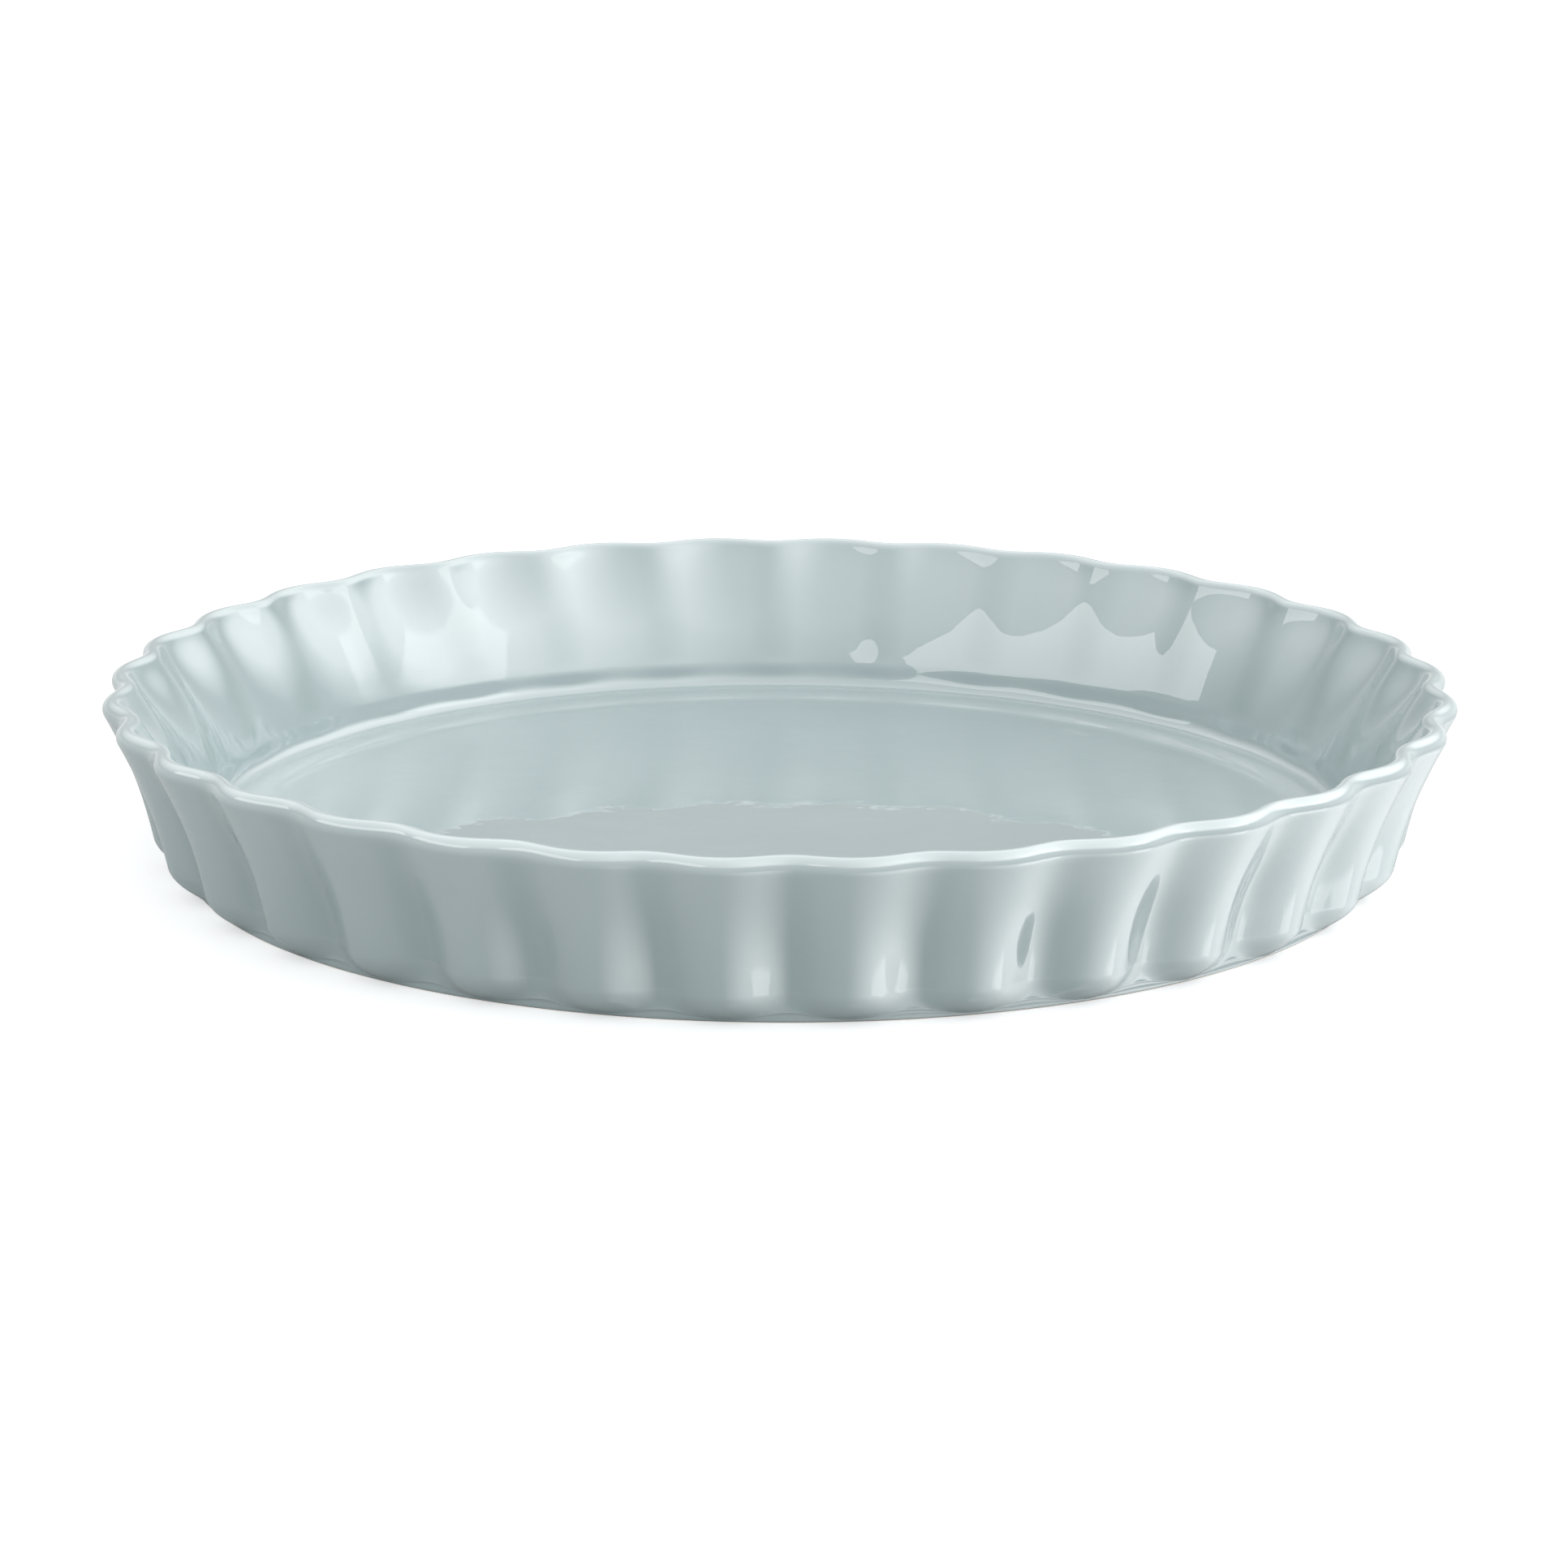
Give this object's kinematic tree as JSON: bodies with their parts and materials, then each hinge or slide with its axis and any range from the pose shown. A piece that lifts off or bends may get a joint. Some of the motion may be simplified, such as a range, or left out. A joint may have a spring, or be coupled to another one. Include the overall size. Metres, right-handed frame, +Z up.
{
  "type": "fluted pie dish",
  "caption": "Round shallow pie dish with a fluted, outward leaning wall, a full round lip, a flat floor inside a shallow step, and a plain foot ring.",
  "frame": {"origin": "centre of the dish on the plane that it stands on", "axes": "+Z up along the dish's axis of symmetry; +X through the crest of one flute"},
  "size_m": [0.305, 0.305, 0.04],
  "materials": {
    "glaze": "pale grey-green gloss glaze over stoneware"
  },
  "bodies": {
    "root": {"dish": "glaze"}
  },
  "joints": []
}
